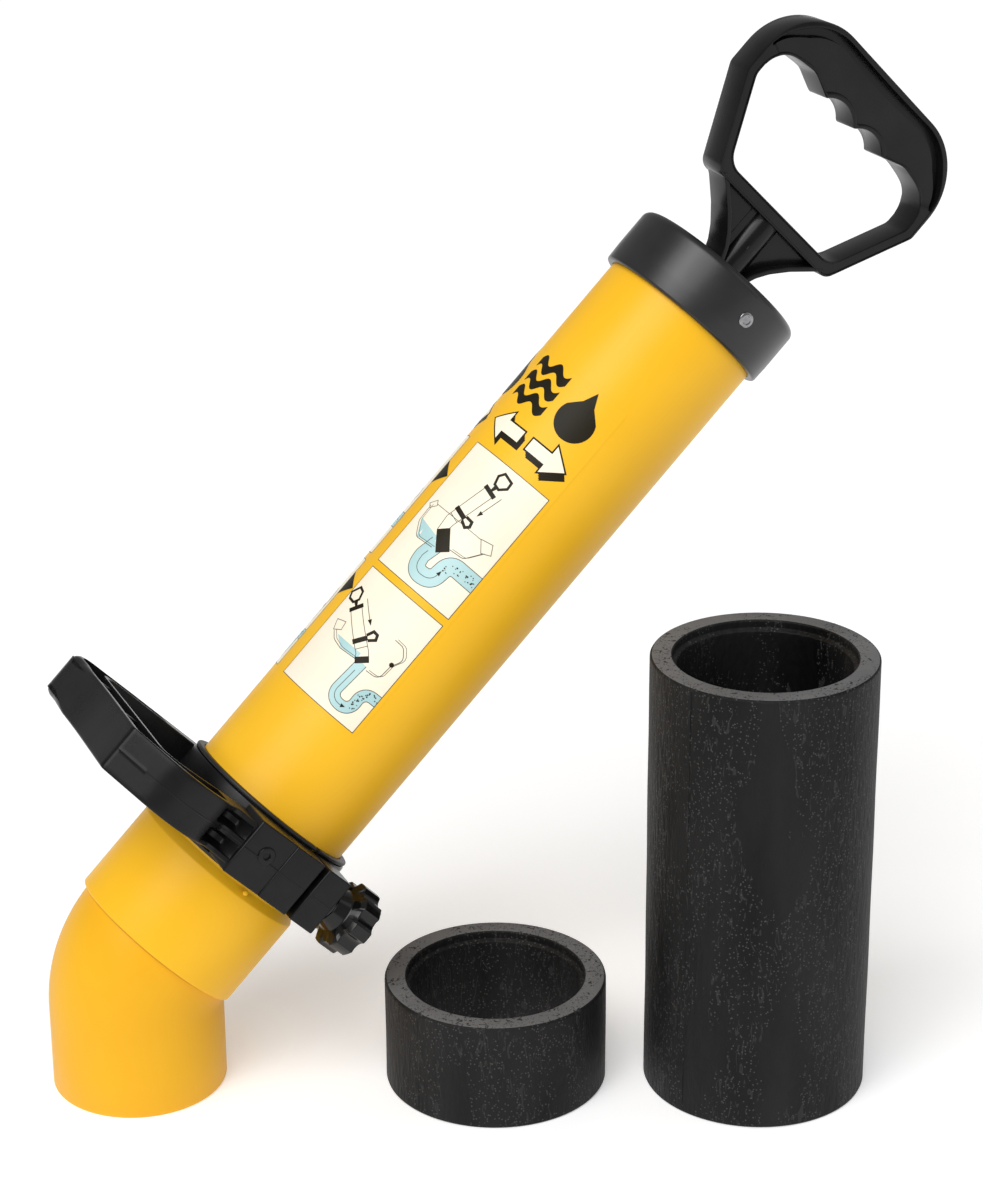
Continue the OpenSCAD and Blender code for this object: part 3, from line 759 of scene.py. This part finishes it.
def build_collar(name, node, centre, height):
    """A loose rubber collar standing on the floor, mouth up, with its top end face painted lighter as if lit
    from above.
    """
    place = floor_point((centre[0] * MM, centre[1] * MM, 0))
    mouth_r, mouth_h = 38.3, 3.5
    corners = [(COLLAR_BORE_R, 0, 0.8), (COLLAR_R, 0, 1.4), (COLLAR_R, height, 1.6), (mouth_r, height, 1.0),
               (mouth_r, height - mouth_h, 0.6), (COLLAR_BORE_R, height - mouth_h - 1, 0.8)]
    outline = rounded(corners, steps=4)
    # Points every 2 mm, so that the waviness shows
    section = []
    for a, b in zip(outline, outline[1:] + outline[:1]):
        steps = max(1, int(math.dist(a, b) / 2.0))
        section += [(a[0] + (b[0] - a[0]) * k / steps, a[1] + (b[1] - a[1]) * k / steps) for k in range(steps)]
    seed = random.random() * 10

    def uneven(r, h, a):
        """Slight waviness of hand-cut foam rubber, rougher in the bore."""
        wave = 0.10 * math.sin(3 * a + seed + h * 0.03) + 0.06 * math.sin(11 * a + h * 0.11 + seed)
        rough = 0.16 * math.sin(37 * a + h * 0.7 + seed) * math.sin(h * 0.9 + 5 * a) if r < 38 else 0
        if r > COLLAR_R - 0.2:
            return min(r, COLLAR_R - 0.17 + wave)
        return r + (wave * 0.5 + rough if 0.5 < h < height - 0.5 else 0)
    parts = [lathe(name, section, place, count=220, ripple=uneven, smooth=45)]
    # Moulding seams: a line across the end face on two sides, and down the outside below it
    for side in (SEAM_TURN, SEAM_TURN + 180):
        c, s = math.cos(math.radians(side)), math.sin(math.radians(side))

        def turned_place(x, y, z, c=c, s=s):
            return place(x * c - y * s, x * s + y * c, z)
        parts.append(box_on("seam", turned_place, (mouth_r + 0.6, COLLAR_R - 1.2), (-0.16, 0.16),
                            (height - 0.5, height + 0.1), 0.05))
        parts.append(box_on("seam", turned_place, (COLLAR_R - 0.6, COLLAR_R - 0.02), (-0.14, 0.14),
                            (2.0, height - 2.0), 0.05))
    collar = join(name, parts, 45)
    finish_piece(collar, COLLAR, node, node, slot="collar_rubber")
    # Only the upward top end face takes the lighter copy: painted light from above
    collar.data.materials.append(COLLAR_LIT_TOP)
    for face in collar.data.polygons:
        face.material_index = 1 if face.normal.z > 0.9 and face.center.z > (height - 1) * MM else 0


# ---------- printed label ----------

LABEL_R = PIPE_R + LABEL_LIFT


def label_point(u, s, lift):
    """u runs round the barrel from its upper (-n) side towards the camera's side; s up the barrel."""
    a = u / LABEL_R
    r = LABEL_R + lift
    return barrel_point(-r * math.cos(a), -r * math.sin(a), s)


class Print:
    """Collects flat shapes of one ink and wraps them round the barrel."""

    def __init__(self, lift):
        self.lift = lift
        self.bm = bmesh.new()

    def fill(self, outline):
        """A filled polygon, cut up so that it follows the curve."""
        pts = [Vector((x, y, 0)) for x, y in outline]
        tris = tessellate_polygon([pts])
        verts = [self.bm.verts.new(p) for p in pts]
        for t in tris:
            try:
                self.bm.faces.new([verts[i] for i in t])
            except ValueError:
                pass

    def stroke(self, line, width, closed=False):
        """A line of even width as a row of quads."""
        p = [Vector((x, y, 0)) for x, y in line]
        count = len(p)
        left, right = [], []
        for i in range(count):
            a = p[i - 1] if (i or closed) else p[i]
            b = p[(i + 1) % count] if (i < count - 1 or closed) else p[i]
            t1 = (p[i] - a).normalized() if (p[i] - a).length > 1e-9 else (b - p[i]).normalized()
            t2 = (b - p[i]).normalized() if (b - p[i]).length > 1e-9 else t1
            t = (t1 + t2)
            t = t.normalized() if t.length > 1e-6 else t1
            n = Vector((-t.y, t.x, 0))
            stretch = min(2.0, 1.0 / max(0.3, n.dot(Vector((-t1.y, t1.x, 0)))))
            left.append(self.bm.verts.new(p[i] + n * width / 2 * stretch))
            right.append(self.bm.verts.new(p[i] - n * width / 2 * stretch))
        for i in range(count if closed else count - 1):
            j = (i + 1) % count
            self.bm.faces.new([left[i], left[j], right[j], right[i]])

    def piece(self, name, mat):
        """Cuts long edges so that they bend, wraps the shapes round the barrel and makes the mesh."""
        for _ in range(6):
            long = [e for e in self.bm.edges if abs(e.verts[0].co.x - e.verts[1].co.x) > 2.0]
            if not long:
                break
            bmesh.ops.subdivide_edges(self.bm, edges=long, cuts=1)
        bmesh.ops.triangulate(self.bm, faces=self.bm.faces)
        for f in self.bm.faces:
            f.normal_update()
        bmesh.ops.reverse_faces(self.bm, faces=[f for f in self.bm.faces if f.normal.z < 0])
        for v in self.bm.verts:
            v.co = label_point(v.co.x, v.co.y, self.lift)
        mesh = bpy.data.meshes.new(name)
        self.bm.to_mesh(mesh)
        self.bm.free()
        obj = bpy.data.objects.new(name, mesh)
        bpy.context.scene.collection.objects.link(obj)
        finish_piece(obj, mat, "barrel", slot="label")


def circle(cx, cy, r, count, start=0.0, turn=360.0):
    """Points on a circle, or on an arc of turn degrees."""
    steps = count if turn >= 360 else count + 1
    return [(cx + r * math.cos(math.radians(start + turn * i / count)),
             cy + r * math.sin(math.radians(start + turn * i / count))) for i in range(steps)]


def turned(points, angle, at, scale=1.0):
    """Points drawn upright, turned by an angle and moved to a place."""
    c, s = math.cos(math.radians(angle)) * scale, math.sin(math.radians(angle)) * scale
    return [(at[0] + x * c - y * s, at[1] + x * s + y * c) for x, y in points]


def draw_pump(ink, fine, foot, collar_lean, collar_h, joint, lean):
    """A small pump: collar standing on foot, bend up to joint, barrel leaning by lean degrees."""
    def put(points):
        return turned(points, lean, joint, 0.95)

    w = 2.9
    ink.fill(turned([(-3.1, 0), (3.1, 0), (3.1, collar_h), (-3.1, collar_h)], collar_lean, foot))
    for k in (-1, 1):
        fine.stroke(turned([(k * w, collar_h)], collar_lean, foot) + put([(k * w, 0), (k * w, 2)]), 0.28)
    fine.stroke(put([(-w, 2), (-w, 21), (w, 21), (w, 2)]), 0.28, closed=True)
    ink.fill(put([(-3.6, 4.5), (3.6, 4.5), (3.6, 6.8), (-3.6, 6.8)]))
    ink.stroke(put([(3.4, 4.4), (7.0, 3.6), (8.2, 5.6), (7.0, 7.6), (3.4, 6.9)]), 1.3)
    ink.fill(put([(-3.7, 20.5), (3.7, 20.5), (3.7, 22.6), (-3.7, 22.6)]))
    ink.fill(put([(-0.6, 22.6), (0.6, 22.6), (1.1, 25.2), (-1.1, 25.2)]))
    ink.stroke(put([(-1.6, 25.2), (1.6, 25.2), (3.7, 28.6), (2.6, 31.6), (-2.6, 31.6), (-3.7, 28.6)]), 1.15,
               closed=True)
    # Arrow beside the barrel
    fine.stroke(put([(6.0, 24), (6.0, 12.5)]), 0.3)
    ink.fill(put([(6.0, 10.6), (5.0, 13.6), (7.0, 13.6)]))


def draw_specks(ink, line, count, spread):
    """Loose dirt scattered along a line."""
    for _ in range(count):
        k = random.random() * (len(line) - 1.001)
        i = int(k)
        x = line[i][0] + (line[i + 1][0] - line[i][0]) * (k - i) + random.uniform(-spread, spread)
        y = line[i][1] + (line[i + 1][1] - line[i][1]) * (k - i) + random.uniform(-spread, spread)
        r = random.uniform(0.22, 0.42)
        ink.fill(circle(x, y, r, 6, random.uniform(0, 60)))


def build_label():
    """The printed pictures, pointers and signs; each ink is one piece, on its own small lift off the film."""
    cream, water = Print(0.02), Print(0.05)
    shade, ink, fine = Print(0.05), Print(0.09), Print(0.075)
    white = Print(0.11)
    columns = ((0.7, 45.8), (-55.0, -9.9))
    rows = ((200.8, 265.8), (138.8, 197.2))
    for u0, u1 in columns:
        for r, (s0, s1) in enumerate(rows):
            cream.fill([(u0, s0), (u1, s0), (u1, s1), (u0, s1)])
            fine.stroke([(u0, s0), (u1, s0), (u1, s1), (u0, s1)], 0.3, closed=True)
            draw_panel(water, ink, fine, u0, s0, r)
    # Pointers from the left column to the right one
    for s in (246.5, 184.5):
        ink.fill([(-9.4, s + 6), (-9.4, s - 6), (-0.2, s)])
    draw_banner(ink, shade, white)
    for printed, name, mat in ((cream, "label_panels", PAPER), (water, "label_water", WATER),
                               (shade, "label_shadow", INK), (ink, "label_ink", INK),
                               (fine, "label_lines", FINE_INK), (white, "label_white", PAPER)):
        printed.piece(name, mat)


def draw_panel(water, ink, fine, u0, s0, row):
    """A picture of the pump over a basin (row 0) or over a floor drain (row 1)."""
    def at(points):
        return [(u0 + x, s0 + y) for x, y in points]

    # Each has the trap's middle line, width and bend, the basin's walls and rims, its water, and the pump
    if row == 0:
        trap = [(20.5, 21), (18.4, 13.5), (19.5, 6.4), (29.0, 7.6), (30.6, 18.4), (44.9, 18.2)]
        width, bend_r = 7.8, 4.6
        walls = [[(4.0, 32.0), (4.4, 24.0), (9.5, 17.8), (19.5, 18.6)],
                 [(26.5, 22.6), (33.5, 23.2), (38.2, 29.8)]]
        water.fill(at([(4.8, 25.6), (18.4, 23.4), (19.2, 19), (9.8, 18.2)]))
        rims = [[(2.4, 32.4), (5.6, 35.4), (7.4, 33.4), (4.4, 30.8)],
                [(33.9, 34.4), (39.4, 35.6), (41.6, 31.6), (37.6, 29.8)]]
        fine.stroke(at([(7.0, 34.0), (34.0, 34.2)]), 0.25)
        foot, collar_lean, collar_h, joint, lean = (24.8, 19.8), 40, 10.4, (17.9, 32.2), -16
    else:
        trap = [(29.2, 25), (27.6, 6.0), (38.2, 5.4), (37.6, 16.5), (44.9, 16.6)]
        width, bend_r = 5.0, 4.4
        walls = [[(8.2, 27.6), (11.6, 24.8), (17.2, 23.6), (26, 24.4)],
                 [(32.6, 23.6), (38.8, 24.0), (39.4, 31.5), (42.0, 36.5), (38.5, 41.0), (33.8, 41.2)]]
        water.fill(at([(11.4, 27.4), (26.2, 27.6), (26.2, 24.6), (17.0, 23.9)]))
        rims = [[(5.4, 32.0), (10.6, 33.4), (11.4, 29.6), (7.6, 27.6)]]
        ink.fill(at(circle(39.3, 32.2, 1.1, 8)))
        foot, collar_lean, collar_h, joint, lean = (29.2, 24.8), 42, 2.8, (26.2, 28.4), 53
    path = resample(rounded([(x, y, bend_r) for x, y in at(trap)], closed=False, steps=6), 60, False)
    water.stroke(path, width)
    along = np.gradient(path, axis=0)
    normals = np.stack([-along[:, 1], along[:, 0]], 1) / np.linalg.norm(along, axis=1)[:, None]
    for side in (-1, 1):
        fine.stroke(path + normals * side * width / 2, 0.3)
    # Flow arrow in the first part of the trap, dirt in the rest
    fine.stroke(path[6:34], 0.28)
    tip, back = path[36], path[33]
    t = (tip - back) / np.linalg.norm(tip - back)
    across = np.array([-t[1], t[0]]) * 0.9
    ink.fill([tip, back + across, back - across])
    draw_specks(ink, path[38:-2], 30, width * 0.32)
    for line in walls:
        soft = rounded([(x, y, 3) for x, y in at(line)], closed=False, steps=5)
        fine.stroke(soft, 0.3)
        fine.stroke([(x + 0.9, y + 0.9) for x, y in soft], 0.22)
    for rim in rims:
        fine.stroke(at(rim), 0.28, closed=True)
    foot, joint = at([foot, joint])
    draw_pump(ink, fine, foot, collar_lean, collar_h, joint, lean)


def draw_banner(ink, shade, white):
    """Plain picture signs in place of the lettering: water waves above, push and pull arrows below."""
    middle = -4.6
    base, tall = 288.6, 24.5
    wave_w, wave_high, wave_thick = 22.8, 1.9, 4.6
    # Bold signs, upper row: three waves and a drop by turns
    for k in range(4):
        cx = middle - 37.5 + 25.0 * k
        if k % 2:
            belly = circle(0, tall * 0.37, 9.0, 24, 28, -236)
            drop = [(0, tall), (3.0, tall * 0.74)] + belly + [(-3.0, tall * 0.74)]
            ink.fill([(cx + x, base + y) for x, y in drop])
        else:
            for row in range(3):
                level = base + 4.6 + row * 7.9
                crest = [(cx - wave_w / 2 + x, level + wave_high * math.sin(x * 4 * math.pi / wave_w))
                         for x in np.linspace(0, wave_w, 49)]
                ink.fill([(x, y - wave_thick / 2) for x, y in crest]
                         + [(x, y + wave_thick / 2) for x, y in crest[::-1]])
    # Arrow pairs with a drop shadow, lower row
    arrow = [(-13, -2.8), (-2.5, -2.8), (-2.5, -6.8), (6.5, 0), (-2.5, 6.8), (-2.5, 2.8), (-13, 2.8)]
    for k, cx in enumerate((-38, -16, 14, 38)):
        flip = -1 if k in (0, 2) else 1
        place = [(middle + cx + 3.5 * flip + x * flip, 278.6 + y) for x, y in arrow]
        place = place if flip > 0 else place[::-1]
        for step in range(6):
            shade.fill([(x + 0.45 * step + 0.2, y - 0.5 * step - 0.2) for x, y in place])
        shade.stroke(place, 1.5, closed=True)
        white.fill(place)


# ---------- build everything ----------

build_barrel()
build_bend()
build_cap()
build_grip()
build_side_handle()
build_liner()
build_knob()
build_collar("short_collar_body", "short_collar", (142.5, -60.6), 48.0)
build_collar("long_collar_body", "long_collar", (245.1, -105.4), 196.4)
# The label's film lies a hair proud of the barrel and has its colour
paint("instruction_label", YELLOW)
build_label()
for mat, nodes in ((BUSH, ("rod_guide_bush",)), (CAP, ("piston_hub",)), (STEEL, ("piston_rod",)),
                   (SEAL, ("rod_wiper", "end_buffer", "lower_piston_cup", "upper_piston_cup")),
                   (PLATED, ("lower_piston_plate", "upper_piston_plate", "piston_washer", "piston_nut",
                             "clamp_nut")),
                   (DARK_STEEL, ("grip_pin", "clamp_stud", "knob_washer"))):
    for node in nodes:
        paint(node, mat)


# ---------- stage, light and camera ----------

def build_stage():
    """White floor and an even white world."""
    bpy.ops.mesh.primitive_plane_add(size=30, location=(0.2, 0.3, 0))
    floor = bpy.context.object
    floor.name = "floor"
    floor.data.materials.append(FLOOR)
    world = bpy.data.worlds.new("studio")
    world.use_nodes = True
    world.node_tree.nodes["Background"].inputs["Color"].default_value = (1, 1, 1, 1)
    world.node_tree.nodes["Background"].inputs["Strength"].default_value = WORLD_LIGHT
    bpy.context.scene.world = world


def soft_light(name, place, aim, size, power):
    """A rectangular lamp; place, aim and size are in metres."""
    data = bpy.data.lights.new(name, "AREA")
    data.shape = "RECTANGLE"
    data.size, data.size_y = size
    data.energy = power
    obj = bpy.data.objects.new(name, data)
    obj.location = place
    obj.rotation_euler = (Vector(aim) - Vector(place)).to_track_quat("-Z", "Y").to_euler()
    bpy.context.scene.collection.objects.link(obj)


def broad_sun(towards, strength, spread):
    """Even light over the whole stage, soft as through a large diffuser."""
    data = bpy.data.lights.new("sun", "SUN")
    data.energy = strength
    data.angle = math.radians(spread)
    obj = bpy.data.objects.new("sun", data)
    obj.rotation_euler = Vector(towards).to_track_quat("Z", "Y").to_euler()
    bpy.context.scene.collection.objects.link(obj)


def build_camera():
    """Camera looking down at the pump; its place is in metres from the outlet's foot."""
    lean_in, turn, roll = math.radians(21.82), math.radians(23.27), math.radians(-0.29)
    back, right, up = 1.145, 0.154, 0.6798
    spin = Matrix.Rotation(-turn, 3, "Z")
    place = spin @ Vector((right, -back, up))
    ahead = spin @ Vector((0, math.cos(lean_in), -math.sin(lean_in)))
    up_dir = spin @ Vector((0, math.sin(lean_in), math.cos(lean_in)))
    right_dir = spin @ Vector((1, 0, 0))
    x = right_dir * math.cos(roll) + up_dir * math.sin(roll)
    y = -right_dir * math.sin(roll) + up_dir * math.cos(roll)
    matrix = Matrix((x, y, -ahead)).transposed().to_4x4()
    matrix.translation = place
    data = bpy.data.cameras.new("camera")
    data.sensor_fit = "VERTICAL"
    data.sensor_height = 36.0
    data.lens = 90.5
    camera = bpy.data.objects.new("camera", data)
    camera.matrix_world = matrix
    bpy.context.scene.collection.objects.link(camera)
    bpy.context.scene.camera = camera


build_stage()
broad_sun((-0.70, -0.62, 1.10), 2.0, 50)
soft_light("top", (-0.55, -0.55, 1.5), (0.3, 0, 0.45), (0.3, 0.7), 2.5)
soft_light("fill", (1.3, -0.9, 0.9), (0.15, 0, 0.15), (0.5, 1.2), 1.2)
build_camera()
bpy.context.scene.view_settings.view_transform = "Standard"
